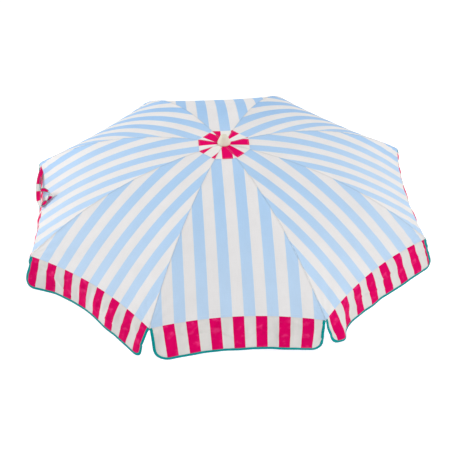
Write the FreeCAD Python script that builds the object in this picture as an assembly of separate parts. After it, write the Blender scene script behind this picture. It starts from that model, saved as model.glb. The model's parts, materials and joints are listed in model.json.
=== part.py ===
import FreeCAD, Part
import math
import os

# A beach umbrella, in millimetres. +Z is up the pole, and the origin is on the pole's axis at the
# middle of the ground ferrule, the part that goes into the sand or a stand. The pole is pushed
# together and the canopy is open.

V = FreeCAD.Vector

# canopy
RIBS = 8
SECTOR = 360 / RIBS
TIP_RADIUS = 900.0        # axis to a canopy corner
DOME_RISE = 293.0         # corner to apex
DOME_SQUARE = 0.823       # share of the rise that goes with radius squared, the rest with its fourth power
APEX_Z = 1040.0
FABRIC = 1.2              # vertical thickness of the canopy's solids
HEM_SCALLOP = 26.0        # how far the hem bows in between two corners
SEAM_GAP = 0.15           # half the gap between two panels on different ribs
CENTRE_HOLE = 10.0
VALANCE_HEIGHT = 147.0
VALANCE_CORNER = 38.0
VALANCE_SLIT = 6.0        # half the slit between two flaps
VALANCE_LEAN = 32.0       # how far the flap's foot stands out from the hem
CAP_RADIUS = 117.0
CAP_LIFT = 0.3

# pole
UPPER_R = 16.0
UPPER_BORE = 14.8
UPPER_FOOT = 24.0
LOWER_R = 14.0
LOWER_BORE = 12.8
LOWER_TOP = 980.0
FERRULE_R = 16.0
FERRULE_HALF = 20.0
SPIKE_LENGTH = 45.0
SPIKE_TIP_R = 2.0
RUNNING = 0.05            # radial clearance of a shaft in its hole

# rib and strut linkage
PIVOT_RADIUS = 22.0       # pole axis to the rib and strut pins
HUB_DROP = 14.0           # fabric to rib pivot
RIB_DROP = 6.5            # fabric to rib centre line, away from the hub
EYE_FADE = 45.0           # how fast the rib rises from its pivot to the fabric
RIB_HALF = 2.5
RIB_WALL = 1.0
BLADE = 3.0               # thickness of the flattened rib and strut ends
BLADE_LENGTH = 20.0
EYE_R = 4.0
PIN_R = 1.5
JOINT_RADIUS = 450.0      # where the strut's bracket sits on the rib
JOINT_DROP = 10.0         # rib centre line to strut pivot
RIB_END = 893.0
STRUT_R = 3.0
RUNNER_DROP = 340.0       # rib pivots to strut pivots on the runner
SLOT = 4.0

# crown hub, measured from its pivots
HUB_LOW = -10.0
HUB_HIGH = 8.0
HUB_R = 30.0
SCREW_R = 3.0
SCREW_GRIP = 26.0         # depth of the screw in the finial

# latch and clamp
LATCH_DROP = 32.0         # runner pivots to the latch's axis
LATCH_R = 4.0
LATCH_POCKET_R = 6.5
CLAMP_Z = 42.0
CLAMP_SCREW_R = 4.0
NOSE_GAP = 0.2            # latch and clamp screw stop this short of the tube they press on

X, Y, Z = V(1, 0, 0), V(0, 1, 0), V(0, 0, 1)
HALF = math.radians(SECTOR / 2)


def dome_z(radius):
    share = radius / TIP_RADIUS
    return APEX_Z - DOME_RISE * (DOME_SQUARE * share**2 + (1 - DOME_SQUARE) * share**4)


def dome_slope(radius):
    share = radius / TIP_RADIUS
    return -DOME_RISE / TIP_RADIUS * (2 * DOME_SQUARE * share + 4 * (1 - DOME_SQUARE) * share**3)


RIM_Z = dome_z(TIP_RADIUS)
HUB_PIVOT_Z = dome_z(PIVOT_RADIUS) - HUB_DROP
RUNNER_Z = HUB_PIVOT_Z - RUNNER_DROP
FINIAL_Z = APEX_Z + CAP_LIFT + 1.5


def spread(start, end, count):
    return [start + (end - start) * i / (count - 1) for i in range(count)]


def cylinder(radius, low, high, axis=Z, at=V()):
    return Part.makeCylinder(radius, high - low, at + axis * low, axis)


def tube(outer, inner, low, high, axis=Z, at=V()):
    return cylinder(outer, low, high, axis, at).cut(cylinder(inner, low - 1, high + 1, axis, at))


def block(x, y, z):
    """A box from (low, high) along each axis."""
    return Part.makeBox(x[1] - x[0], y[1] - y[0], z[1] - z[0], V(x[0], y[0], z[0]))


def turned(shape, degrees):
    copy = shape.copy()
    copy.rotate(V(), Z, degrees)
    return copy


def fused(shapes):
    return shapes[0].multiFuse(shapes[1:]).removeSplitter()


def spline(points):
    curve = Part.BSplineCurve()
    curve.interpolate(points)
    return curve.toShape()


def band(top, bottom):
    """A face between two curves that run the same way."""
    ends = [Part.makeLine(top[-1], bottom[-1]), Part.makeLine(bottom[0], top[0])]
    return Part.Face(Part.Wire([spline(top), ends[0], spline(bottom[::-1]), ends[1]]))


def revolved(profile):
    """A solid of revolution from (radius, height) points, first and last on the axis."""
    points = [V(r, 0, z) for r, z in profile]
    return Part.Face(Part.makePolygon(points + points[:1])).revolve(V(), Z, 360)


# ---- canopy: each gore is curved along its centre line only, so it is an extruded profile ----

def gore_profile(offset, start, end, count=10):
    return [V(a, 0, dome_z(a / math.cos(HALF)) + offset) for a in spread(start, end, count)]


def hem_at(across):
    """Distance of the hem from the pole, at a distance across from the gore's middle."""
    chord = TIP_RADIUS * math.sin(HALF)
    radius = (chord**2 + HEM_SCALLOP**2) / (2 * HEM_SCALLOP)
    middle = TIP_RADIUS * math.cos(HALF) - HEM_SCALLOP
    return middle + radius - math.sqrt(radius**2 - across**2)


def hem_arc(inset, start, end):
    points = [V(hem_at(b) - inset, b, 0) for b in (start, (start + end) / 2, end)]
    return Part.Arc(*points).toShape()


def gore_sheet(offset, thickness, start, end):
    """A slab under the gore's surface moved by offset, wide enough for a half gore."""
    top = gore_profile(offset, start, end)
    bottom = gore_profile(offset - thickness, start, end)
    return band(top, bottom).extrude(Y * TIP_RADIUS / 2)


def half_canopy():
    corner = TIP_RADIUS * math.cos(HALF)
    chord = TIP_RADIUS * math.sin(HALF)
    arc = hem_arc(0, SEAM_GAP, chord)
    inner = V(CENTRE_HOLE, CENTRE_HOLE * math.tan(HALF), 0)
    start = V(CENTRE_HOLE, SEAM_GAP, 0)
    wire = Part.Wire([Part.makeLine(start, V(hem_at(SEAM_GAP), SEAM_GAP, 0)), arc,
                      Part.makeLine(V(corner, chord, 0), inner), Part.makeLine(inner, start)])
    wedge = Part.Face(wire).extrude(Z * 2 * APEX_Z)
    return gore_sheet(0, FABRIC, CENTRE_HOLE / 2, corner + 5).common(wedge)


def half_valance():
    side = TIP_RADIUS * math.sin(HALF) - VALANCE_SLIT
    outer, inner = 0.2, 1.2
    low, high = RIM_Z - VALANCE_HEIGHT, RIM_Z + 2 * HEM_SCALLOP
    arcs = [hem_arc(inset, SEAM_GAP, side) for inset in (outer, inner)]
    ends = [Part.makeLine(V(hem_at(b) - outer, b, 0), V(hem_at(b) - inner, b, 0))
            for b in (SEAM_GAP, side)]
    strip = Part.Face(Part.Wire(Part.__sortEdges__(arcs + ends)))
    strip.translate(V(VALANCE_LEAN, 0, low))
    wall = strip.extrude(V(-VALANCE_LEAN / VALANCE_HEIGHT, 0, 1) * (high - low))
    cut = VALANCE_CORNER * (1 - math.sqrt(0.5))
    foot, heel = V(0, side - VALANCE_CORNER, low), V(0, side, low + VALANCE_CORNER)
    bend = V(0, side - cut, low + cut)
    start, top, back = V(0, 0, low), V(0, side, high), V(0, 0, high)
    outline = [Part.makeLine(start, foot), Part.Arc(foot, bend, heel).toShape(), Part.makeLine(heel, top),
               Part.makeLine(top, back), Part.makeLine(back, start)]
    flap = Part.Face(Part.Wire(outline)).extrude(X * TIP_RADIUS)
    under = gore_sheet(-FABRIC - 0.3, 2 * APEX_Z, TIP_RADIUS / 2, TIP_RADIUS)
    return wall.common(flap).common(under)


def both_sides(half, azimuth):
    """A half gore and its mirror image, one on each side of the rib at this azimuth."""
    other = half.mirror(V(), Y)
    return [turned(half, azimuth - SECTOR / 2), turned(other, azimuth + SECTOR / 2)]


def cap_panel():
    reach = CAP_RADIUS * math.cos(HALF)
    corners = [V(a, side * a * math.tan(HALF), 0)
               for a, side in ((CENTRE_HOLE, 1), (CENTRE_HOLE, -1), (reach, -1), (reach, 1))]
    wedge = Part.Face(Part.makePolygon(corners + corners[:1])).extrude(Z * 2 * APEX_Z)
    sheet = gore_sheet(CAP_LIFT + 1, 1, CENTRE_HOLE / 2, reach + 5)
    return sheet.fuse(sheet.mirror(V(), Y)).removeSplitter().common(wedge)


def storage_strap():
    """A tie of webbing, in the gore between ribs 4 and 5: a loop on the hem, and its run along the rim."""
    width, wide, tall, thick = 22.0, 28.0, 35.0, 1.6
    across, distance, above = -12.0, 795.0, 10.0
    middle = V(distance, across - width / 2, dome_z(distance / math.cos(HALF)) + tall + above)
    rings = []
    for inset in (0, thick):
        ellipse = Part.Ellipse(middle + Z * (tall - inset), middle + X * (wide - inset), middle)
        rings.append(Part.Face(Part.Wire(ellipse.toShape())).extrude(Y * width))
    start, end, droop = V(834, -305, 757), V(816, -40, 777), math.radians(30)
    broad = V(math.cos(droop), 0, -math.sin(droop)) * (width / 2)
    stout = V(math.sin(droop), 0, math.cos(droop)) * (thick / 2)
    corners = [start + broad + stout, start - broad + stout, start - broad - stout, start + broad - stout]
    run = Part.Face(Part.makePolygon(corners + corners[:1])).extrude(end - start)
    return turned(Part.makeCompound([rings[0].cut(rings[1]), run]), 180)


# ---- ribs, brackets and struts, made in the XZ plane and turned to their place ----

def rib_point(radius, above=0.0):
    """A point at a distance above the rib's centre line."""
    fade = math.exp(-(radius - PIVOT_RADIUS) / EYE_FADE)
    slope = dome_slope(radius)
    drop = (RIB_DROP + (HUB_DROP - RIB_DROP) * fade) * math.hypot(1, slope)
    return V(radius, 0, dome_z(radius) - drop) + V(-slope, 0, 1).normalize() * above


def rib_strip(low, high, start, end, width):
    """A strip along the rib, between two distances above its centre line."""
    radii = spread(start, end, 12)
    face = band([rib_point(r, high) for r in radii], [rib_point(r, low) for r in radii])
    face.translate(Y * -width / 2)
    return face.extrude(Y * width)


def rib():
    blade_end = PIVOT_RADIUS + BLADE_LENGTH
    bar = rib_strip(-RIB_HALF, RIB_HALF, PIVOT_RADIUS, RIB_END, 2 * RIB_HALF)
    blade = rib_strip(-RIB_HALF, RIB_HALF, PIVOT_RADIUS, RIB_END, BLADE)
    everything = (-2 * TIP_RADIUS, 2 * TIP_RADIUS)
    bar = bar.common(block((blade_end, TIP_RADIUS), (-10, 10), everything))
    blade = blade.common(block((0, blade_end + 5), (-10, 10), everything))
    pivot = rib_point(PIVOT_RADIUS)
    eye = cylinder(EYE_R, -BLADE / 2, BLADE / 2, Y, pivot)
    inside = RIB_HALF - RIB_WALL
    groove = rib_strip(-2 * RIB_HALF, inside, blade_end + 20, RIB_END - 15, 2 * inside)
    hole = cylinder(PIN_R + RUNNING, -BLADE, BLADE, Y, pivot)
    return fused([bar, blade, eye]).cut(groove).cut(hole)


def strut_pivot():
    return rib_point(JOINT_RADIUS, -JOINT_DROP)


def on_rib(shape, radius):
    """Place a shape, made about the origin, on the rib's centre line."""
    copy = shape.copy()
    copy.rotate(V(), Y, -math.degrees(math.atan(dome_slope(radius))))
    copy.translate(rib_point(radius))
    return copy


def strut_bracket():
    """A saddle over the rib with two cheeks that carry the strut's rivet."""
    outer, length = RIB_HALF + RIB_WALL, 12.0
    corners = [V(-length, 0, outer), V(length, 0, outer), V(length, 0, -4), V(5, 0, -JOINT_DROP),
               V(-5, 0, -JOINT_DROP), V(-length, 0, -4)]
    plate = Part.Face(Part.makePolygon(corners + corners[:1]))
    plate.translate(Y * -outer)
    pivot = V(0, 0, -JOINT_DROP)
    body = fused([plate.extrude(Y * 2 * outer), cylinder(5, -outer, outer, Y, pivot)])
    body = body.cut(block((-20, 20), (-RIB_HALF, RIB_HALF), (-20, RIB_HALF)))
    return on_rib(body.cut(cylinder(PIN_R, -10, 10, Y, pivot)), JOINT_RADIUS)


def strut_rivet():
    outer, head = RIB_HALF + RIB_WALL, 1.2
    pivot = V(0, 0, -JOINT_DROP)
    shank = cylinder(PIN_R, -outer - head, outer + head, Y, pivot)
    heads = [cylinder(2 * PIN_R, low, low + head, Y, pivot) for low in (-outer - head, outer)]
    return on_rib(fused([shank] + heads), JOINT_RADIUS)


def rib_tip(rib_shape):
    """A cap pushed over the rib's end, which holds the canopy's corner."""
    outer = RIB_HALF + RIB_WALL
    cap = block((-16, 6), (-outer, outer), (-outer, outer))
    cap = cap.makeFillet(1.2, [e for e in cap.Edges if e.Curve.Direction.dot(X) ** 2 > 0.9])
    return on_rib(cap, RIB_END).cut(rib_shape)


def strut(start, end):
    """A rod with a flattened, drilled end at each pivot."""
    run = end - start
    length = run.Length
    rod = cylinder(STRUT_R, BLADE_LENGTH - 4, length - BLADE_LENGTH + 4, X)
    shapes = [rod]
    for at, inward in ((0, 1), (length, -1)):
        span = sorted((at, at + inward * (BLADE_LENGTH + 6)))
        shapes.append(block(span, (-BLADE / 2, BLADE / 2), (-EYE_R + 0.5, EYE_R - 0.5)))
        shapes.append(cylinder(EYE_R, -BLADE / 2, BLADE / 2, Y, X * at))
    made = fused(shapes)
    for at in (0, length):
        made = made.cut(cylinder(PIN_R + RUNNING, -BLADE, BLADE, Y, X * at))
    made.rotate(V(), Y, -math.degrees(math.atan2(run.z, run.x)))
    made.translate(start)
    return made


# ---- crown, runner and pole ----

def around(shape, count=RIBS, first=SECTOR / 2):
    return [turned(shape, first + i * 360 / count) for i in range(count)]


def pivot_pins(z):
    """Short pins across the slots of the crown hub or the runner."""
    reach = SLOT / 2 + 3
    return Part.makeCompound(around(cylinder(PIN_R, -reach, reach, Y, V(PIVOT_RADIUS, 0, z))))


def slotted(shape, z, low, high, depth):
    """Cut the eight radial slots and the holes of their pins."""
    slot = block((depth, 40), (-SLOT / 2, SLOT / 2), (z + low, z + high))
    pin = cylinder(PIN_R, -SLOT / 2 - 3, SLOT / 2 + 3, Y, V(PIVOT_RADIUS, 0, z))
    return shape.cut(Part.makeCompound(around(slot.fuse(pin))))


def crown_hub():
    top, low = HUB_PIVOT_Z + HUB_HIGH, HUB_PIVOT_Z + HUB_LOW
    body = fused([cylinder(HUB_R, low, top), cylinder(UPPER_BORE, low - 15, top)])
    body = body.makeChamfer(2, [e for e in body.Edges if abs(e.BoundBox.ZMin - top) < 0.1
                                and abs(e.BoundBox.ZMax - top) < 0.1])
    body = slotted(body, HUB_PIVOT_Z, HUB_LOW - 1, HUB_HIGH + 1, 17)
    return body.cut(cylinder(SCREW_R, HUB_PIVOT_Z - 4, top + 1))


def apex_washer():
    return tube(26, SCREW_R, HUB_PIVOT_Z + HUB_HIGH, APEX_Z - FABRIC - 0.8)


def finial():
    """A turned knob: a rounded foot, a waisted side and a rounded head."""
    foot = [V(r, 0, z) for r, z in ((23, 0), (27, 3), (28.3, 8))]
    side = [foot[-1]] + [V(r, 0, z) for r, z in ((26, 15), (21, 26), (16.5, 37))]
    head = [side[-1]] + [V(r, 0, z) for r, z in ((13.5, 41.5), (8, 44.4), (0, 45.2))]
    edges = [Part.makeLine(V(), foot[0]), spline(foot), spline(side), spline(head),
             Part.makeLine(head[-1], V())]
    knob = Part.Face(Part.Wire(edges)).revolve(V(), Z, 360)
    knob.translate(Z * FINIAL_Z)
    return knob.cut(cylinder(SCREW_R, FINIAL_Z - 1, FINIAL_Z + SCREW_GRIP))


def runner_sleeve():
    latch_z = RUNNER_Z - LATCH_DROP
    body = fused([cylinder(20, RUNNER_Z - 50, RUNNER_Z + 6), cylinder(HUB_R, RUNNER_Z - 8, RUNNER_Z + 6),
                  cylinder(23, RUNNER_Z - 50, RUNNER_Z - 45), cylinder(9, 10, 28, X, V(0, 0, latch_z))])
    body = slotted(body, RUNNER_Z, -9, 7, 17.8)
    body = body.cut(cylinder(UPPER_R + RUNNING, RUNNER_Z - 60, RUNNER_Z + 10))
    body = body.cut(cylinder(LATCH_R + RUNNING, 10, 30, X, V(0, 0, latch_z)))
    return body.cut(cylinder(LATCH_POCKET_R, 19, 26, X, V(0, 0, latch_z)))


def latch_button():
    """A plunger with its nose just off the tube, a collar for the spring and a pull button."""
    at = V(0, 0, RUNNER_Z - LATCH_DROP)
    return fused([cylinder(LATCH_R, UPPER_R + NOSE_GAP, 33, X, at), cylinder(6, 19.2, 20.7, X, at),
                  cylinder(7, 29, 35, X, at)])


def latch_spring():
    at = V(0, 0, RUNNER_Z - LATCH_DROP)
    return tube(6, LATCH_R + 0.4, 20.9, 25.9, X, at)


def slide_bush():
    bush = tube(UPPER_BORE, LOWER_R + RUNNING, UPPER_FOOT, UPPER_FOOT + 40)
    lip = tube(UPPER_R, LOWER_R + RUNNING, UPPER_FOOT - 3, UPPER_FOOT)
    return fused([bush, lip]).cut(clamp_bore(CLAMP_SCREW_R + 0.1))


def clamp_bore(radius):
    return cylinder(radius, 8, 60, X, V(0, 0, CLAMP_Z))


def upper_tube():
    body = tube(UPPER_R, UPPER_BORE, UPPER_FOOT, HUB_PIVOT_Z + HUB_LOW)
    return body.cut(clamp_bore(CLAMP_SCREW_R + 0.1))


def clamp_collar():
    body = fused([cylinder(20.5, 26, 58), cylinder(8, 8, 27, X, V(0, 0, CLAMP_Z))])
    body = body.cut(cylinder(UPPER_R, 20, 60))
    return body.cut(clamp_bore(CLAMP_SCREW_R + 0.06))


def clamp_screw():
    return cylinder(CLAMP_SCREW_R, LOWER_R + NOSE_GAP, 46, X, V(0, 0, CLAMP_Z))


def clamp_knob():
    """A five-lobed thumb knob on the clamp screw."""
    at = V(0, 0, CLAMP_Z)
    lobes = [cylinder(6, 28, 42, X, at + V(0, 11 * math.cos(a), 11 * math.sin(a)))
             for a in (2 * math.pi * i / 5 for i in range(5))]
    body = fused([cylinder(12, 28, 42, X, at), cylinder(7, 42, 48, X, at)] + lobes)
    return body.cut(cylinder(CLAMP_SCREW_R, 20, 46, X, at))


def lower_tube():
    return tube(LOWER_R, LOWER_BORE, 0, LOWER_TOP)


def guide_plug():
    return fused([cylinder(UPPER_BORE - 0.08, LOWER_TOP, LOWER_TOP + 10),
                  cylinder(LOWER_BORE, LOWER_TOP - 25, LOWER_TOP)])


def ground_spike():
    body = revolved([(0, -FERRULE_HALF - SPIKE_LENGTH), (SPIKE_TIP_R, -FERRULE_HALF - SPIKE_LENGTH),
                     (FERRULE_R, -FERRULE_HALF), (FERRULE_R, FERRULE_HALF), (0, FERRULE_HALF)])
    return body.cut(cylinder(LOWER_R, 0, FERRULE_HALF + 1))


def rib_nodes():
    """Every node that repeats with the ribs, by name."""
    made = {}
    rib_shape, bracket, rivet = rib(), strut_bracket(), strut_rivet()
    tip = rib_tip(rib_shape)
    strut_shape = strut(V(PIVOT_RADIUS, 0, RUNNER_Z), strut_pivot())
    canopy, valance = half_canopy(), half_valance()
    for k in range(RIBS):
        azimuth = SECTOR * (k + 0.5)
        made[f"rib_{k + 1}"] = turned(rib_shape, azimuth)
        made[f"rib_fittings_{k + 1}"] = turned(Part.makeCompound([bracket, rivet, tip]), azimuth)
        made[f"strut_{k + 1}"] = turned(strut_shape, azimuth)
        made[f"canopy_panel_{k + 1}"] = Part.makeCompound(both_sides(canopy, azimuth))
        made[f"valance_{k + 1}"] = Part.makeCompound(both_sides(valance, azimuth))
    return made


def all_nodes():
    made = {
        "ground_spike": ground_spike(),
        "lower_tube": lower_tube(),
        "guide_plug": guide_plug(),
        "upper_tube": upper_tube(),
        "slide_bush": slide_bush(),
        "clamp_collar": clamp_collar(),
        "clamp_screw": clamp_screw(),
        "clamp_knob": clamp_knob(),
        "crown_hub": crown_hub(),
        "crown_pins": pivot_pins(HUB_PIVOT_Z),
        "apex_washer": apex_washer(),
        "finial": finial(),
        "finial_screw": cylinder(SCREW_R, HUB_PIVOT_Z - 4, FINIAL_Z + SCREW_GRIP),
        "top_cap": Part.makeCompound(around(cap_panel(), first=0)),
        "runner_sleeve": runner_sleeve(),
        "runner_pins": pivot_pins(RUNNER_Z),
        "latch_button": latch_button(),
        "latch_spring": latch_spring(),
        "storage_strap": storage_strap(),
    }
    made.update(rib_nodes())
    return made


os.makedirs("parts", exist_ok=True)
for name, shape in all_nodes().items():
    if not shape.isValid() or not shape.Solids or min(s.Volume for s in shape.Solids) <= 0:
        raise RuntimeError(f"{name} isn't a sound solid")
    shape.exportStep(f"parts/{name}.step")
    print(name, len(shape.Solids), round(shape.Volume))
joint = strut_pivot()
print("rib pivot", PIVOT_RADIUS, HUB_PIVOT_Z, "runner", RUNNER_Z, "strut joint", joint.x, joint.z)
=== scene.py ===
import json
import math

import bpy
import numpy as np
from mathutils import Matrix, Vector, noise


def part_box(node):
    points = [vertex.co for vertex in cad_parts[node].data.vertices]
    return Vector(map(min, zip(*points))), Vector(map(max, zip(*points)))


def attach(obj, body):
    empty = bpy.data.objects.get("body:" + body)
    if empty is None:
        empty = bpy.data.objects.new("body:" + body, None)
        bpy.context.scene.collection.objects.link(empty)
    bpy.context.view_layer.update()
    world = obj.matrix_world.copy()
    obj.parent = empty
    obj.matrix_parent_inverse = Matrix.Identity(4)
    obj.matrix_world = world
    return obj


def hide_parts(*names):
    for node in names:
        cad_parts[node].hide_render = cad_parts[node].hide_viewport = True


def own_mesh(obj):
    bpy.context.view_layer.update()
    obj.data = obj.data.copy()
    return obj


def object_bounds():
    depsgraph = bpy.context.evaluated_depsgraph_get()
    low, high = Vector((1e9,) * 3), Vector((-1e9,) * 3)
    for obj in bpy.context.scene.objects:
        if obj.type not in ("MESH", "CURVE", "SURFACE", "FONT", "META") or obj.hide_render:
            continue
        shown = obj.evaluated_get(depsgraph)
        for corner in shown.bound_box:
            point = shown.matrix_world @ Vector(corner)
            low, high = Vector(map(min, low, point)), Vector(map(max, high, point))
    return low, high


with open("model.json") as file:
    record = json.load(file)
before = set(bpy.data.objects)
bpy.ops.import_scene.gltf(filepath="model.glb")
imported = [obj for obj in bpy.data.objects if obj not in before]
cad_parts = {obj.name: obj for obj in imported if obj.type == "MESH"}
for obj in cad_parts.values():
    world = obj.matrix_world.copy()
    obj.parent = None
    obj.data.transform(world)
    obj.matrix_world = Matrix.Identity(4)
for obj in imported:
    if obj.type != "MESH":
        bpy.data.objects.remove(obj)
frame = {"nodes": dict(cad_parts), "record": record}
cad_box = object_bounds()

# A striped beach umbrella, in metres. Cloth is drawn gore by gore in the gore's own directions:
# "out" runs from the pole along the middle of the gore, and "across" runs along the hem, anticlockwise
# seen from above. Each piece of cloth belongs to one rib and holds the half gore on either side of it,
# so that it can fold with its rib.

RIBS = 8
SECTOR = 2 * math.pi / RIBS
HALF = SECTOR / 2
PANEL_LOW, PANEL_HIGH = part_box("canopy_panel_1")
CLOTH = 0.0012            # thickness of the canopy's cloth in the CAD model
APEX = PANEL_HIGH.z
TIP = PANEL_HIGH.x / math.cos(HALF)
RISE = APEX - PANEL_LOW.z - CLOTH
RIM = APEX - RISE
DOME_SQUARE = 0.823       # the dome's curve is this share a square of the radius, and the rest a fourth power
CHORD = TIP * math.sin(HALF)
MIDDLE = TIP * math.cos(HALF)
SCALLOP = 0.026           # how far the hem bows in
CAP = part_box("top_cap")[1].x
CAP_LIFT = 0.0016         # the cap lies on the canopy
CORE = 0.029              # cloth inside this radius is held under the finial and doesn't fold
CORE_EDGE = CORE * math.cos(HALF)
SCREW_HOLE = 0.005
STRIPE = 0.0456

# the canopy's relief: how high each kind is, and how far it reaches
SAG = 0.010
SEAM_HEIGHT, SEAM_WIDTH = 0.0014, 0.0045
PUCKER_HEIGHT, PUCKER_REACH = 0.0008, 0.020
DRAG_HEIGHT, DRAG_REACH = 0.0016, 0.16
SLACK_HEIGHT = 0.0016

# a valance flap, from the hem down
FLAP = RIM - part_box("valance_1")[0].z
FLAP_CORNER = 0.038       # radius of its bottom corners
SLIT = 0.007              # half the gap between two flaps
SLIT_OPENS = 0.014        # the slit is full width this far below the hem
PIPING = 0.0060           # half the width of the bias tape round a flap
PIPING_THICK = 0.0024     # half its thickness
PIPING_ROOM = 0.004       # left below the cloth's edge for the tape
TAPE_START = 0.002        # the tape starts this far below the hem
FLAP_WAVES = (0.0016, 31), (0.0005, 67)         # height and turns of the two waves along its foot
FLAP_RIPPLE, FLAP_PULL = 0.0008, 0.0016         # along the hem, and fanning out from a corner
FLAP_FOLD, FLAP_CRUMPLE, FLAP_CREASE = 0.013, 0.0055, 0.0045    # broad and soft, small, and sharp
FLAP_COLUMNS, FLAP_ROWS = 64, 36
FLAP_BULGE, BULGE_REACH = 0.005, 0.008          # the turn where the flap leaves the hem

# where the middle of a white stripe lies across each gore, from the gore on +X on round
WHITE_STRIPE = [0.015, 0.030, 0.033, -0.006, -0.0205, 0.0456, 0.004, -0.021]
CAP_PINK_STRIPE = [0.012, 0.030, 0.032, -0.006, -0.0205, 0.0486, 0.009, -0.0145]

# how far each flap's foot stands out, and how far it is pulled anticlockwise, from its clockwise end on round
FLAP_LEAN = [[0.028, 0.034, 0.033, 0.022, 0.009], [0.020, 0.028, 0.033, 0.030, 0.020],
             [0.024, 0.030, 0.026, 0.031, 0.025], [0.022, 0.032, 0.027, 0.030, 0.024],
             [0.018, 0.026, 0.030, 0.030, 0.022], [0.040, 0.013, 0.022, 0.043, 0.038],
             [0.046, 0.036, 0.034, 0.030, 0.013], [0.033, 0.020, 0.036, 0.045, 0.032]]
FLAP_DRIFT = [[0.0, 0.0, 0.0], [0.006, 0.0, -0.006], [0.005, 0.0, -0.006], [0.005, 0.0, -0.004],
              [0.004, 0.0, 0.0], [-0.008, -0.016, -0.019], [0.016, 0.005, -0.008], [0.022, 0.013, 0.020]]

# what differs at one end of a flap, by gore and whether it is the anticlockwise end: the corner's radius, and
# how far the edge is raised there, over RAISED_REACH
FLAP_CORNERS = {(6, False): 0.060, (5, True): 0.030, (7, False): 0.030}
FLAP_RAISED = {(7, False): 0.018}
RAISED_REACH = 0.10
FLAP_PLEATS = {7: (-0.280, 0.030, 0.019)}      # a pleat's place across, its width and how far it stands out


def gore_axes(gore):
    angle = gore * SECTOR
    return Vector((math.cos(angle), math.sin(angle), 0)), Vector((-math.sin(angle), math.cos(angle), 0))


# ---- the canopy's shape ----

def dome(radius):
    share = radius / TIP
    return APEX - RISE * (DOME_SQUARE * share**2 + (1 - DOME_SQUARE) * share**4)


def dome_slope(radius):
    share = radius / TIP
    return -RISE / TIP * (2 * DOME_SQUARE * share + 4 * (1 - DOME_SQUARE) * share**3)


def hem(across):
    """How far out the hem is: it bows in between the two corners."""
    radius = (CHORD**2 + SCALLOP**2) / (2 * SCALLOP)
    return MIDDLE - SCALLOP + radius - math.sqrt(radius**2 - across**2)


def seam_distance(out, across):
    return max(0.0, (out * math.tan(HALF) - abs(across)) * math.cos(HALF))


def relief(gore, out, across):
    """How far the cloth stands off the plain dome: sag, seam, puckers, drag lines and slack.

    The plain numbers here and in the flap's functions are how often each pattern repeats.
    """
    share = min(1.0, out / MIDDLE)
    width = max(out * math.tan(HALF), 1e-6)
    off = seam_distance(out, across)
    sag = -SAG * share * (1 - (across / width) ** 2)
    ridge = SEAM_HEIGHT * math.exp(-((off / SEAM_WIDTH) ** 2)) * min(1, share * 6)
    ripples = math.sin(out * 210 + 1.5 * math.sin(out * 23))
    pucker = PUCKER_HEIGHT * math.exp(-off / PUCKER_REACH) * ripples * share
    tip = math.hypot(MIDDLE - out, CHORD - abs(across))
    fan = math.atan2(MIDDLE - out, CHORD - abs(across))
    drag = DRAG_HEIGHT * math.exp(-tip / DRAG_REACH) * math.sin(fan * 17 + gore)
    slack = SLACK_HEIGHT * noise.noise(Vector((out * 7, across * 7, gore * 3.1))) * share * min(1, off / 0.03)
    return sag + ridge + pucker + drag * min(1, off / 0.01) + slack


def cloth_point(gore, out, across, lift):
    """A point on a gore's cloth, or lifted off it."""
    along, side = gore_axes(gore)
    radius = out / math.cos(HALF)
    normal = (Vector((0, 0, 1)) - along * dome_slope(radius) / math.cos(HALF)).normalized()
    plain = along * out + side * across + Vector((0, 0, dome(radius)))
    return plain + normal * (relief(gore, out, across) + lift)


def arc_length(out):
    """How far along the cloth a point is from the apex."""
    slope = dome_slope(out / math.cos(HALF)) / math.cos(HALF)
    return out * (1 + slope * slope / 6)


# ---- meshes ----

def grid_faces(rows, columns, flip):
    faces = []
    for i in range(rows - 1):
        for j in range(columns - 1):
            a, b = i * columns + j, (i + 1) * columns + j
            faces.append((a, a + 1, b + 1, b) if flip else (a, b, b + 1, a + 1))
    return faces


class Sheet:
    """Grids of points that become one mesh, with each point's place on the cloth."""

    def __init__(self):
        self.points, self.faces, self.cloth, self.edge = [], [], [], []

    def add(self, rows, flip=False):
        """Rows of (point, (across, along, from the seam), from the edge)."""
        first, columns = len(self.points), len(rows[0])
        for row in rows:
            for point, cloth, edge in row:
                self.points.append(point)
                self.cloth.append(cloth)
                self.edge.append(edge)
        self.faces += [tuple(first + n for n in f) for f in grid_faces(len(rows), columns, flip)]

    def build(self, name, material, thickness):
        mesh = bpy.data.meshes.new(name)
        mesh.from_pydata([tuple(p) for p in self.points], [], self.faces)
        cloth = mesh.attributes.new("cloth", "FLOAT_VECTOR", "POINT")
        cloth.data.foreach_set("vector", np.array(self.cloth, np.float32).ravel())
        edge = mesh.attributes.new("edge", "FLOAT", "POINT")
        edge.data.foreach_set("value", np.array(self.edge, np.float32))
        piece = bpy.data.objects.new(name, mesh)
        bpy.context.scene.collection.objects.link(piece)
        solid = piece.modifiers.new("thickness", "SOLIDIFY")
        solid.thickness, solid.offset = thickness, -1
        apply_modifiers(piece)
        mesh = piece.data
        mesh.materials.append(material)
        mesh.shade_smooth()
        sharpen(mesh, 50)
        return piece


def apply_modifiers(piece):
    evaluated = piece.evaluated_get(bpy.context.evaluated_depsgraph_get())
    mesh = bpy.data.meshes.new_from_object(evaluated)
    piece.modifiers.clear()
    piece.data = mesh


def sharpen(mesh, degrees):
    mesh.set_sharp_from_angle(angle=math.radians(degrees))


def steps(count, bend=1.0):
    """Shares from 0 to 1: closer together near 1 when bend is above 1, and near 0 when it is below."""
    return [1 - (1 - i / (count - 1)) ** bend for i in range(count)]


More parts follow.
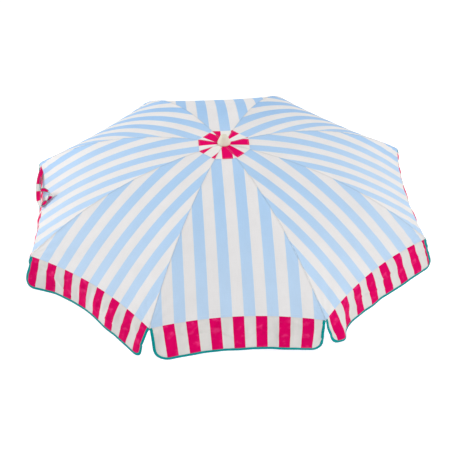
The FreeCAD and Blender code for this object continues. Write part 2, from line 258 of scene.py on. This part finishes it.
def half_gore_rows(gore, side, start, end, lift, columns, count, bend=1.7):
    """The half of a gore on one side of its middle, from start out to the line that end(across) gives."""
    rows = []
    for share in steps(columns, bend):
        row = []
        last = end(share * CHORD)
        for t in steps(count):
            out = start + (last - start) * t
            across = side * share * out * math.tan(HALF)
            point = cloth_point(gore, out, across, lift)
            row.append((point, (across, arc_length(out), seam_distance(out, across)), last - out))
        rows.append(row)
    return rows


# ---- materials ----

def new_material(name):
    material = bpy.data.materials.new(name)
    material.use_nodes = True
    tree = material.node_tree
    shader = tree.nodes["Principled BSDF"]
    return material, tree, shader


class Maths:
    """Short names for the shader nodes that work on numbers."""

    def __init__(self, tree):
        self.tree = tree

    def link(self, value, socket):
        if isinstance(value, (int, float)):
            socket.default_value = value
        else:
            self.tree.links.new(value, socket)

    def op(self, operation, *values, clamp=False):
        node = self.tree.nodes.new("ShaderNodeMath")
        node.operation, node.use_clamp = operation, clamp
        for value, socket in zip(values, node.inputs):
            self.link(value, socket)
        return node.outputs[0]

    def ramp(self, value, low, high, start=0.0, end=1.0):
        node = self.tree.nodes.new("ShaderNodeMapRange")
        node.interpolation_type = "SMOOTHSTEP"
        for given, socket in zip((value, low, high, start, end), node.inputs):
            self.link(given, socket)
        return node.outputs[0]

    def attribute(self, name):
        node = self.tree.nodes.new("ShaderNodeAttribute")
        node.attribute_name = name
        return node

    def split(self, vector):
        node = self.tree.nodes.new("ShaderNodeSeparateXYZ")
        self.tree.links.new(vector, node.inputs[0])
        return node.outputs

    def join(self, x, y, z):
        node = self.tree.nodes.new("ShaderNodeCombineXYZ")
        for value, socket in zip((x, y, z), node.inputs):
            self.link(value, socket)
        return node.outputs[0]

    def grain(self, vector, scale, detail=2.0):
        node = self.tree.nodes.new("ShaderNodeTexNoise")
        self.tree.links.new(vector, node.inputs["Vector"])
        node.inputs["Scale"].default_value = scale
        node.inputs["Detail"].default_value = detail
        return node.outputs[0]

    def mix(self, share, first, second):
        node = self.tree.nodes.new("ShaderNodeMix")
        node.data_type = "RGBA"
        self.link(share, node.inputs["Factor"])
        for colour, socket in ((first, node.inputs["A"]), (second, node.inputs["B"])):
            if isinstance(colour, tuple):
                socket.default_value = (*colour, 1)
            else:
                self.tree.links.new(colour, socket)
        return node.outputs["Result"]

    def bump(self, height, distance, strength=1.0):
        node = self.tree.nodes.new("ShaderNodeBump")
        node.inputs["Distance"].default_value = distance
        node.inputs["Strength"].default_value = strength
        self.tree.links.new(height, node.inputs["Height"])
        return node.outputs[0]


def linear(red, green, blue):
    """A colour given as it shows on a screen, 0 to 255, as the shader's own values."""
    values = [c / 255 for c in (red, green, blue)]
    return tuple(c / 12.92 if c <= 0.04045 else ((c + 0.055) / 1.055) ** 2.4 for c in values)


THREAD = 0.0011           # pitch of the weave
STITCH = 0.0042           # length of one stitch and its gap
STITCH_WHITE = linear(245, 243, 236)
STITCH_LINE = 0.0005, 0.0012        # half the width of a line of stitches, sharp and then faded out
STITCH_SHARE = 0.60, 0.75           # how much of the length is stitch, likewise
STRIPE_WANDER = 0.0012    # how far a stripe's edge wanders
SEAM_SHADE = 0.006        # painted shade: the cloth is darker this near to a seam


def stitch_marks(m, seams, across, along, seam, edge):
    """1 on the stitches and 0 elsewhere: seams lists how far each line is, and from the seam or the edge."""
    stitches = 0.0
    for distance, which in seams:
        line = m.op("ABSOLUTE", m.op("SUBTRACT", edge if which == "edge" else seam, distance))
        run = across if which == "edge" else along
        dash = m.op("FRACT", m.op("DIVIDE", run, STITCH))
        on_line, in_dash = m.ramp(line, *STITCH_LINE, 1.0, 0.0), m.ramp(dash, *STITCH_SHARE, 1.0, 0.0)
        stitches = m.op("MAXIMUM", stitches, m.op("MULTIPLY", on_line, in_dash))
    return stitches


def tinted(m, colour, value):
    """A colour multiplied by a number."""
    tint = m.tree.nodes.new("ShaderNodeMix")
    tint.data_type, tint.blend_type = "RGBA", "MULTIPLY"
    tint.inputs["Factor"].default_value = 1.0
    m.tree.links.new(colour, tint.inputs["A"])
    m.tree.links.new(m.join(value, value, value), tint.inputs["B"])
    return tint.outputs["Result"]


def streaks(m, across, along, across_scale, along_scale, detail=2.0):
    """Noise that is stretched one way of the cloth."""
    place = m.join(m.op("MULTIPLY", across, across_scale), m.op("MULTIPLY", along, along_scale), 0.0)
    return m.grain(place, 1.0, detail)


def striped_cloth(name, plain, dyed, seams, gloss, crown_and_shade_blues=None, highlight_pink=None):
    """A woven cloth, striped: seams lists its lines of stitches.

    If given, the sixth argument holds the ground's colour near the crown, and a deeper blue painted as shade
    on the far side (+Y) of the canopy.
    If given, the last argument is a paler colour for the dye, painted in patches as highlights.
    """
    material, tree, shader = new_material(name)
    m = Maths(tree)
    place = m.attribute("cloth").outputs["Vector"]
    across, along, seam = m.split(place)
    edge = m.attribute("edge").outputs["Fac"]
    wobble = m.op("MULTIPLY", m.op("SUBTRACT", m.grain(place, 60), 0.5), STRIPE_WANDER)
    phase = m.op("MULTIPLY", m.op("ADD", across, wobble), math.pi / STRIPE)
    stripe = m.ramp(m.op("COSINE", phase), -0.04, 0.04)
    warp = m.op("SINE", m.op("MULTIPLY", across, 2 * math.pi / THREAD))
    weft = m.op("SINE", m.op("MULTIPLY", along, 2 * math.pi / THREAD))
    weave = m.op("MULTIPLY", warp, weft)
    slub = streaks(m, across, along, 900, 18)
    cross = streaks(m, across, along, 18, 700)
    shade = 0.865
    for pattern, weight in ((slub, 0.10), (cross, 0.07), (m.grain(place, 9, 4.0), 0.10), (weave, 0.02)):
        shade = m.op("ADD", shade, m.op("MULTIPLY", pattern, weight))
    # a deeper blue near the crown, and painted shade: a deeper blue again on the far side (+Y) of the canopy
    if crown_and_shade_blues:
        far = m.split(tree.nodes.new("ShaderNodeTexCoord").outputs["Object"])[1]
        near_crown, painted_shade_blue = crown_and_shade_blues
        plain = m.mix(m.ramp(along, 0.30, 0.85), near_crown, plain)
        plain = m.mix(m.ramp(far, 0.05, 0.45), plain, painted_shade_blue)
    # painted highlights: the dye turns paler in noise patches
    if highlight_pink:
        highlight_patch = streaks(m, across, along, 26, 34, 3.0)
        dyed = m.mix(m.ramp(highlight_patch, 0.50, 0.72), dyed, highlight_pink)
    # painted shade: the cloth darkens towards each seam
    painted_seam_shade = m.ramp(seam, 0.0, SEAM_SHADE, 0.88, 1.0)
    ground = tinted(m, m.mix(stripe, plain, dyed), m.op("MULTIPLY", shade, painted_seam_shade))
    stitches = stitch_marks(m, seams, across, along, seam, edge)
    tree.links.new(m.mix(m.op("MULTIPLY", stitches, 0.18), ground, STITCH_WHITE), shader.inputs["Base Color"])
    height = m.op("ADD", m.op("MULTIPLY", weave, 0.10), m.op("MULTIPLY", slub, 0.25))
    height = m.op("SUBTRACT", height, m.op("MULTIPLY", stitches, 0.8))
    tree.links.new(m.bump(height, 0.0006, 0.6), shader.inputs["Normal"])
    tree.links.new(m.ramp(slub, 0.2, 0.8, 0.78, 0.92), shader.inputs["Roughness"])
    shader.inputs["Specular IOR Level"].default_value = gloss
    shader.inputs["Sheen Weight"].default_value = gloss / 2
    shader.inputs["Sheen Roughness"].default_value = 0.4
    return material


def plain_cloth(name, colour):
    """Bias tape: a fine weave in one colour, worn paler in patches."""
    material, tree, shader = new_material(name)
    m = Maths(tree)
    place = tree.nodes.new("ShaderNodeTexCoord").outputs["Object"]
    weave = m.grain(place, 900)
    worn = m.grain(place, 45, 3.0)
    pale = tuple(min(1, c * 1.25 + 0.002) for c in colour)
    tree.links.new(m.mix(m.ramp(worn, 0.45, 0.75, 0.0, 0.6), colour, pale), shader.inputs["Base Color"])
    tree.links.new(m.bump(weave, 0.0004, 0.5), shader.inputs["Normal"])
    tree.links.new(m.ramp(worn, 0.3, 0.7, 0.62, 0.85), shader.inputs["Roughness"])
    shader.inputs["Sheen Weight"].default_value = 0.01
    shader.inputs["Specular IOR Level"].default_value = 0.05
    return material


def hard(name, colour, metal, smoothest, roughest, grain_scale, bump, stretch=(1, 1, 1)):
    """Moulded plastic, paint or metal: a base colour that varies a little, with scuffs and fine grain."""
    material, tree, shader = new_material(name)
    m = Maths(tree)
    place = tree.nodes.new("ShaderNodeTexCoord").outputs["Object"]
    mapping = tree.nodes.new("ShaderNodeMapping")
    tree.links.new(place, mapping.inputs["Vector"])
    mapping.inputs["Scale"].default_value = stretch
    fine = m.grain(mapping.outputs[0], grain_scale, 3.0)
    broad = m.grain(place, 11, 3.0)
    scuff = m.ramp(m.grain(place, 70, 5.0), 0.62, 0.72)
    darker = tuple(c * 0.88 for c in colour)
    worn = tuple(c * 0.72 for c in colour)
    base = m.mix(broad, colour, darker)
    tree.links.new(m.mix(m.op("MULTIPLY", scuff, 0.35), base, worn), shader.inputs["Base Color"])
    grain = m.ramp(fine, 0.3, 0.7, smoothest, roughest)
    rough = m.op("ADD", grain, m.op("MULTIPLY", scuff, 0.12), clamp=True)
    tree.links.new(rough, shader.inputs["Roughness"])
    tree.links.new(m.bump(fine, bump, 0.5), shader.inputs["Normal"])
    shader.inputs["Metallic"].default_value = metal
    return material


BLUE = linear(193, 220, 248)
# the canopy's blue near the crown, and its painted shade on the far side (+Y)
CROWN_AND_SHADE_BLUES = linear(180, 214, 248), linear(162, 204, 246)
WARM_WHITE = linear(238, 236, 236)
PINK = linear(224, 0, 98)
# a paler pink, painted in patches on the valance as highlights
HIGHLIGHT_PINK = linear(238, 48, 122)
PINK_WHITE = linear(225, 222, 219)
CAP_WHITE = linear(243, 241, 238)
CAP_PINK = linear(236, 0, 103)
TEAL = linear(0, 146, 146)

canopy_cloth = striped_cloth("canopy_cloth", BLUE, WARM_WHITE, [(0.0045, "seam"), (0.009, "edge")], 0.25,
                             CROWN_AND_SHADE_BLUES)
valance_cloth = striped_cloth("valance_cloth", PINK_WHITE, PINK, [(0.006, "seam")], 0.03, highlight_pink=HIGHLIGHT_PINK)
cap_cloth = striped_cloth("cap_cloth", CAP_WHITE, CAP_PINK, [(0.003, "seam"), (0.005, "edge")], 0.03)
strap_cloth = striped_cloth("strap_cloth", PINK_WHITE, PINK, [(0.0025, "edge")], 0.03)
piping_cloth = plain_cloth("piping_cloth", TEAL)

# colour, how metallic, lowest and highest roughness, the grain's scale, the bump's height and any stretch
FINISHES = {
    "pole_white": (linear(238, 238, 234), 0.0, 0.25, 0.36, 240, 0.0002),
    "white_plastic": (linear(236, 235, 230), 0.0, 0.38, 0.52, 600, 0.0002),
    "spike_plastic": (linear(228, 227, 222), 0.0, 0.42, 0.60, 500, 0.0003),
    "black_plastic": (linear(45, 46, 48), 0.0, 0.40, 0.55, 600, 0.0002),
    "teal_plastic": (linear(0, 140, 135), 0.0, 0.34, 0.48, 600, 0.0002),
    "finial_cream": (linear(238, 232, 212), 0.0, 0.30, 0.46, 320, 0.0003),
    "rib_steel": (linear(205, 208, 212), 1.0, 0.26, 0.42, 500, 0.0001, (1, 1, 0.1)),
    "steel": (linear(190, 193, 198), 1.0, 0.22, 0.38, 700, 0.0001),
}
HARD = {name: hard(name, *finish) for name, finish in FINISHES.items()}


# ---- pieces ----

def folds_with(piece, rib):
    """The cloth rides on its rib."""
    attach(piece, f"rib_{rib + 1}")
    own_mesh(piece)


def halves(rib):
    """(gore, side) of the two half gores that meet at a rib."""
    return ((rib, 1), ((rib + 1) % RIBS, -1))


def shifted(rows, offsets, gore):
    """Move the stripes so that the middle of one lies where this gore has it."""
    return [[(p, (c[0] - offsets[gore], c[1], c[2]), e) for p, c, e in row] for row in rows]


def canopy_panel(rib):
    cloth = Sheet()
    for gore, side in halves(rib):
        rows = half_gore_rows(gore, side, CORE_EDGE, hem, lift=0.0, columns=34, count=130)
        cloth.add(shifted(rows, WHITE_STRIPE, gore), flip=side < 0)
    piece = cloth.build(f"canopy_cloth_{rib + 1}", canopy_cloth, thickness=0.0009)
    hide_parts(f"canopy_panel_{rib + 1}")
    folds_with(piece, rib)


def between(values, across):
    """A smooth value across a flap, from those at even places from one end of it to the other."""
    place = (across / CHORD + 1) / 2 * (len(values) - 1)
    i = min(max(int(place), 0), len(values) - 2)
    t = min(max(place - i, 0.0), 1.0)
    before, after = values[max(i - 1, 0)], values[min(i + 2, len(values) - 1)]
    first, last = values[i], values[i + 1]
    return first + t / 2 * (last - before + t * (2 * before - 5 * first + 4 * last - after
                                                 + t * (3 * (first - last) + after - before)))


def flap_side(depth):
    """Half the flap's width: it starts at the seam, and the slit opens just below the hem."""
    share = min(1.0, depth / SLIT_OPENS)
    return CHORD - SLIT * math.sqrt(share * (2 - share))


def flap_depth(gore, across):
    """Length of the valance from the hem to its bottom edge, with a rounded corner at the slit."""
    corner = FLAP_CORNERS.get((gore, across > 0), FLAP_CORNER)
    past = abs(across) - (CHORD - SLIT - corner)
    cut = 0.0 if past <= 0 else corner - math.sqrt(max(0.0, corner**2 - past**2))
    near = max(0.0, (abs(across) - CHORD + RAISED_REACH) / RAISED_REACH)
    raised = FLAP_RAISED.get((gore, across > 0), 0.0) * near * near * (3 - 2 * near)
    return FLAP - PIPING_ROOM - cut - raised


def flap_creases(gore, across, depth):
    """How far folds, crumples and creases push the flap out, most of all between its hem and its foot."""
    share = depth / FLAP
    slack = math.sin(math.pi * min(1, share) ** 0.8)
    fold = noise.noise(Vector((across * 11 + depth * 5, depth * 8, gore * 4.7)))
    crumple = noise.noise(Vector((across * 34 + depth * 9, depth * 21 - across * 6, gore * 2.9)))
    line = noise.noise(Vector((across * 8 + depth * 5, depth * 11 - across * 3, gore * 1.3 + 7)))
    crease = max(0.0, 1 - abs(line) * 5) ** 2
    return FLAP_FOLD * fold * (0.12 * share + slack) + (FLAP_CRUMPLE * crumple + FLAP_CREASE * crease) * slack


def flap_waves(gore, across, depth):
    """How far the flap waves: along its foot, along its hem, and out from its nearer corner."""
    share = depth / FLAP
    phase = gore * 2.3
    (tall, many), (low, more) = FLAP_WAVES
    wave = tall * math.sin(across * many + phase) + low * math.sin(across * more - 1.7 * phase)
    ripple = FLAP_RIPPLE * math.sin(across * 170 + phase) * (1 - share) * min(1, share * 8)
    tip = CHORD - abs(across)
    fan = math.sin(math.atan2(depth, tip + 0.004) * 9 + phase)
    pull = FLAP_PULL * fan * math.exp(-math.hypot(depth, tip) / 0.05) * min(1, share * 6)
    return wave * share**1.3 + ripple + pull


def flap_point(gore, across, depth):
    """A point on the valance, which leans out from the hem, waves and creases."""
    along, side = gore_axes(gore)
    top = cloth_point(gore, hem(across) - CLOTH, across, -CLOTH)
    share = depth / FLAP
    lean = between(FLAP_LEAN[gore], across)
    bulge = FLAP_BULGE * (1 - math.exp(-depth / BULGE_REACH))
    place, width, height = FLAP_PLEATS.get(gore, (0.0, 1.0, 0.0))
    pleat = height * math.exp(-(((across - place) / width) ** 2)) * share
    push = lean * share * (1.15 - 0.15 * share) + bulge + pleat
    push += flap_waves(gore, across, depth) + flap_creases(gore, across, depth)
    drop = math.sqrt(max(depth**2 - (lean * share) ** 2, 0.0))
    return top + along * push + side * between(FLAP_DRIFT[gore], across) * share - Vector((0, 0, drop))


def flap_columns(gore, side, count):
    """Places across a flap from its middle to its end, close together round the corner."""
    corner = FLAP_CORNERS.get((gore, side > 0), FLAP_CORNER)
    end = CHORD - SLIT
    straight = [(end - corner) * i / count for i in range(count)]
    return straight + [end - corner + corner * math.sin(math.pi / 2 * t) for t in steps(17)]


def valance_panel(rib):
    cloth = Sheet()
    for gore, side in halves(rib):
        rows = []
        for across in flap_columns(gore, side, FLAP_COLUMNS):
            deep = flap_depth(gore, side * across)
            row = []
            for t in steps(FLAP_ROWS, 0.7):
                depth = deep * t
                place = side * across * flap_side(depth) / (CHORD - SLIT)
                from_side = min(CHORD - SLIT - across, deep - depth)
                row.append((flap_point(gore, place, depth), (place, depth, from_side), depth))
            rows.append(row)
        cloth.add(shifted(rows, WHITE_STRIPE, gore), flip=side < 0)
    piece = cloth.build(f"valance_cloth_{rib + 1}", valance_cloth, thickness=0.0008)
    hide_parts(f"valance_{rib + 1}")
    folds_with(piece, rib)
    tape = valance_piping(rib)


def tube_along(points, outward, half_width, half_thick, sides=10):
    """A flattened tube along a line: its broad side lies in the cloth."""
    rings = []
    for i, p in enumerate(points):
        ahead = (points[min(i + 1, len(points) - 1)] - points[max(i - 1, 0)]).normalized()
        facing = (outward - ahead * outward.dot(ahead)).normalized()
        broad = ahead.cross(facing)
        rings.append([p + broad * half_width * math.cos(a) + facing * half_thick * math.sin(a)
                      for a in (2 * math.pi * n / sides for n in range(sides))])
    return rings


def add_rings(mesh_points, faces, rings, flip=False):
    """Join rings of points into a closed tube."""
    first, sides = len(mesh_points), len(rings[0])
    for ring in rings:
        mesh_points += ring
    for i in range(len(rings) - 1):
        for j in range(sides):
            a, b = first + i * sides + j, first + i * sides + (j + 1) % sides
            quad = (a, b, b + sides, a + sides)
            faces.append(quad[::-1] if flip else quad)
    caps = (tuple(range(first, first + sides))[::-1],
            tuple(range(first + (len(rings) - 1) * sides, first + len(rings) * sides)))
    faces += [c[::-1] if flip else c for c in caps]


def mesh_piece(name, points, faces, material):
    mesh = bpy.data.meshes.new(name)
    mesh.from_pydata([tuple(p) for p in points], [], faces)
    mesh.materials.append(material)
    mesh.shade_smooth()
    sharpen(mesh, 40)
    piece = bpy.data.objects.new(name, mesh)
    bpy.context.scene.collection.objects.link(piece)
    return piece


def valance_piping(rib):
    """Bias tape round the sides and the bottom of the two half flaps."""
    points, faces = [], []
    for gore, side in halves(rib):
        end = flap_depth(gore, side * (CHORD - SLIT))
        depths = [TAPE_START + (end - TAPE_START) * t**1.6 for t in steps(34)]
        line = [flap_point(gore, side * flap_side(d), d) for d in depths]
        foot = [side * across for across in flap_columns(gore, side, 60)[-2::-1]]
        line += [flap_point(gore, across, flap_depth(gore, across)) for across in foot]
        rings = tube_along(line, gore_axes(gore)[0], PIPING, PIPING_THICK)
        add_rings(points, faces, rings, flip=side > 0)
    piece = mesh_piece(f"valance_piping_{rib + 1}", points, faces, piping_cloth)
    folds_with(piece, rib)
    return piece


def cap_panel(rib):
    cloth = Sheet()
    for gore, side in halves(rib):
        rows = half_gore_rows(gore, side, CORE_EDGE, lambda _: CAP, CAP_LIFT, 14, 30, 1.4)
        cloth.add(shifted(rows, CAP_PINK_STRIPE, gore), flip=side < 0)
    piece = cloth.build(f"cap_cloth_{rib + 1}", cap_cloth, thickness=0.0008)
    folds_with(piece, rib)


def cap_centre():
    """The middle of the cap, which the finial's foot holds down."""
    cloth = Sheet()
    for rib in range(RIBS):
        for gore, side in halves(rib):
            rows = half_gore_rows(gore, side, SCREW_HOLE, lambda _: CORE_EDGE, CAP_LIFT, 6, 6, 1.0)
            cloth.add(shifted(rows, CAP_PINK_STRIPE, gore), flip=side < 0)
    piece = cloth.build("cap_centre", cap_cloth, thickness=0.0008)
    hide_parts("top_cap")
    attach(piece, "upper_pole")


STRAP_RIB, STRAP_GORE = 3, 4
STRAP_WIDTH = 0.022
STRAP_TAPE = 0.0010       # half the thickness of the tape on its edges
STRAP_SLANT = math.radians(37)      # the band's width lies along this line, down and away from +Y
STRAP_SEAM = 0.02         # distance from a seam: it has none, so this is too far for the seam's painted shade to show

# The tie's line, out, anticlockwise and up from its gore's hem: along the rim to a loop on the hem, and back.
# Its turn is how far the band faces out of the loop, in degrees, and its stripe counts them from the far end.
STRAP_PATH = [(0.006, -0.315, -0.016), (0.015, -0.224, -0.004), (0.018, -0.146, 0.0),
              (0.015, -0.076, 0.004), (0.010, -0.015, 0.004), (-0.002, 0.026, 0.005),
              (-0.018, 0.018, 0.014), (-0.034, 0.008, 0.024), (-0.045, 0.002, 0.038),
              (-0.037, -0.014, 0.050), (-0.016, -0.030, 0.050), (0.003, -0.060, 0.026),
              (0.009, -0.108, 0.006), (0.011, -0.184, -0.004), (0.006, -0.291, -0.020)]
STRAP_TURN = [80, 78, 75, 70, 60, 20, -50, 10, 38, -15, -48, -20, 0, 10, 30]
STRAP_STRIPE = [-0.5, -0.1, 0.5, 1.67, 2.45, 3.4, 4.0, 4.3, 4.5, 5.4, 6.0, 6.5, 7.0, 8.0, 9.0]


def smooth_path(points, count):
    """Points along a smooth line through the given ones."""
    line = []
    for i in range(len(points) - 1):
        p = [points[max(i - 1, 0)], points[i], points[i + 1], points[min(i + 2, len(points) - 1)]]
        for n in range(count):
            t = n / count
            line.append(p[1] + (p[2] - p[0]) * (t / 2) + (p[0] * 2 - p[1] * 5 + p[2] * 4 - p[3]) * (t * t / 2)
                        + ((p[1] - p[2]) * 3 + p[3] - p[0]) * (t**3 / 2))
    return line + [points[-1]]


def storage_strap():
    """The tie for the rolled canopy: a band of the valance's cloth that stands open in a loop at one end."""
    along, side = gore_axes(STRAP_GORE)
    rim = along * hem(0) + Vector((0, 0, dome(hem(0) / math.cos(HALF))))
    path = [rim + along * a + side * b + Vector((0, 0, c)) for a, b, c in STRAP_PATH]
    turns = [Vector((math.radians(t), s * STRIPE, 0)) for t, s in zip(STRAP_TURN, STRAP_STRIPE)]
    away = Vector((0, math.cos(STRAP_SLANT), -math.sin(STRAP_SLANT)))
    line, turns = smooth_path(path, 9), smooth_path(turns, 9)
    rows, run = [], 0.0
    for i, (centre, turn) in enumerate(zip(line, turns)):
        step = line[min(i + 1, len(line) - 1)] - line[max(i - 1, 0)]
        run += step.length / 2
        outward = away.cross(step).normalized()
        broad = away * math.cos(turn.x) + outward * math.sin(turn.x)
        rows.append([(centre + broad * STRAP_WIDTH * (t - 0.5), (turn.y, STRAP_WIDTH * t, STRAP_SEAM),
                      min(t, 1 - t) * STRAP_WIDTH) for t in steps(9)])
    cloth = Sheet()
    cloth.add(rows)
    piece = cloth.build("strap_loop", strap_cloth, thickness=0.0014)
    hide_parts("storage_strap")
    folds_with(piece, STRAP_RIB)
    points, faces = [], []
    for edge in (0, -1):
        add_rings(points, faces, tube_along([row[edge][0] for row in rows], away, STRAP_TAPE, STRAP_TAPE, 8))
    tape = mesh_piece("strap_piping", points, faces, piping_cloth)
    folds_with(tape, STRAP_RIB)


def coil_spring():
    """The latch's spring, which its plunger presses shorter when it is pulled."""
    low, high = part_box("latch_spring")
    wire, turns, steps_each = 0.00045, 4, 24
    radius, middle = (high.y - low.y) / 2 - wire, (low.z + high.z) / 2
    start, end = low.x + wire, high.x - wire
    line = []
    for share in steps(turns * steps_each + 1):
        a = 2 * math.pi * turns * share
        along = start + (end - start) * share
        line.append(Vector((along, radius * math.cos(a), middle + radius * math.sin(a))))
    points, faces = [], []
    add_rings(points, faces, tube_along(line, Vector((1, 0, 0)), wire, wire, 8))
    piece = mesh_piece("coil_spring", points, faces, HARD["steel"])
    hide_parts("latch_spring")
    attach(piece, "runner")
    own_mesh(piece)


for rib in range(RIBS):
    canopy_panel(rib)
    valance_panel(rib)
    cap_panel(rib)
cap_centre()
storage_strap()
coil_spring()

slots = {s["node"]: s["material_slot"] for s in frame["record"]["subparts"]}
for node, piece in frame["nodes"].items():
    if slots[node] in HARD:
        piece.data.materials.clear()
        piece.data.materials.append(HARD[slots[node]])


# ---- camera, floor and light ----

CAMERA_DISTANCE = 5.925 * TIP
CAMERA_AIM = Vector((0.007 * TIP, -0.216 * TIP, 0))      # from the middle of the rim
CAMERA_ELEVATION = math.radians(37.10)
CAMERA_ROLL = math.radians(-0.39)
CAMERA_TURN = math.radians(-3.417)
LENS, SENSOR = 98.79, 36.0
LIGHT_SIZE = 2.5
HORIZON, ZENITH = 0.86, 0.365          # how bright the studio is round its foot and overhead


def camera():
    ahead = Vector((0, math.cos(CAMERA_ELEVATION), -math.sin(CAMERA_ELEVATION)))
    right = Vector((1, 0, 0))
    up = right.cross(ahead)
    c, s = math.cos(CAMERA_ROLL), math.sin(CAMERA_ROLL)
    right, up = right * c + up * s, up * c - right * s
    place = CAMERA_AIM - ahead * CAMERA_DISTANCE
    turn = Matrix.Rotation(CAMERA_TURN, 4, "Z")
    matrix = Matrix((right, up, -ahead)).transposed().to_4x4()
    matrix.translation = place
    data = bpy.data.cameras.new("camera")
    data.lens, data.sensor_width = LENS, SENSOR
    data.clip_end = 100
    made = bpy.data.objects.new("camera", data)
    bpy.context.scene.collection.objects.link(made)
    made.matrix_world = Matrix.Translation((0, 0, RIM)) @ turn @ matrix
    bpy.context.scene.camera = made


def floor():
    mesh = bpy.data.meshes.new("floor")
    reach, level, sides = 45.0, cad_box[0][2] - 0.001, 96
    turns = [2 * math.pi * n / sides for n in range(sides)]
    edge = [(reach * math.cos(a), reach * math.sin(a), level) for a in turns]
    mesh.from_pydata(edge, [], [tuple(range(sides))])
    material, tree, shader = new_material("floor")
    m = Maths(tree)
    place = tree.nodes.new("ShaderNodeTexCoord").outputs["Object"]
    pale = m.mix(m.grain(place, 2), (0.93, 0.93, 0.93), (0.91, 0.91, 0.915))
    tree.links.new(pale, shader.inputs["Base Color"])
    shader.inputs["Roughness"].default_value = 0.9
    shader.inputs["Emission Color"].default_value = (1, 1, 1, 1)
    shader.inputs["Emission Strength"].default_value = 0.37
    mesh.materials.append(material)
    made = bpy.data.objects.new("floor", mesh)
    bpy.context.scene.collection.objects.link(made)


def area_light(name, azimuth, elevation, distance, power):
    """A soft square light that faces the canopy: its azimuth is anticlockwise from +X, in degrees."""
    a, e = math.radians(azimuth), math.radians(elevation)
    aim = Vector((0, 0, RIM))
    place = aim + Vector((math.cos(a) * math.cos(e), math.sin(a) * math.cos(e), math.sin(e))) * distance
    data = bpy.data.lights.new(name, "AREA")
    data.energy, data.size = power, LIGHT_SIZE
    made = bpy.data.objects.new(name, data)
    bpy.context.scene.collection.objects.link(made)
    made.location = place
    made.rotation_euler = (aim - place).to_track_quat("-Z", "Y").to_euler()
    made.visible_camera = False


def studio():
    world = bpy.data.worlds.new("studio")
    bpy.context.scene.world = world
    world.use_nodes = True
    m = Maths(world.node_tree)
    background = world.node_tree.nodes["Background"]
    background.inputs["Color"].default_value = (1, 1, 1, 1)
    height = m.split(world.node_tree.nodes.new("ShaderNodeTexCoord").outputs["Generated"])[2]
    world.node_tree.links.new(m.ramp(height, 0.0, 0.28, HORIZON, ZENITH), background.inputs["Strength"])
    area_light("key", azimuth=312, elevation=54, distance=6.0, power=158)
    area_light("fill", azimuth=163, elevation=20, distance=5.5, power=146)
    area_light("side", azimuth=42, elevation=14, distance=5.5, power=64)


camera()
floor()
studio()
bpy.context.scene.view_settings.view_transform = "Standard"
bpy.context.scene.view_settings.look = "None"
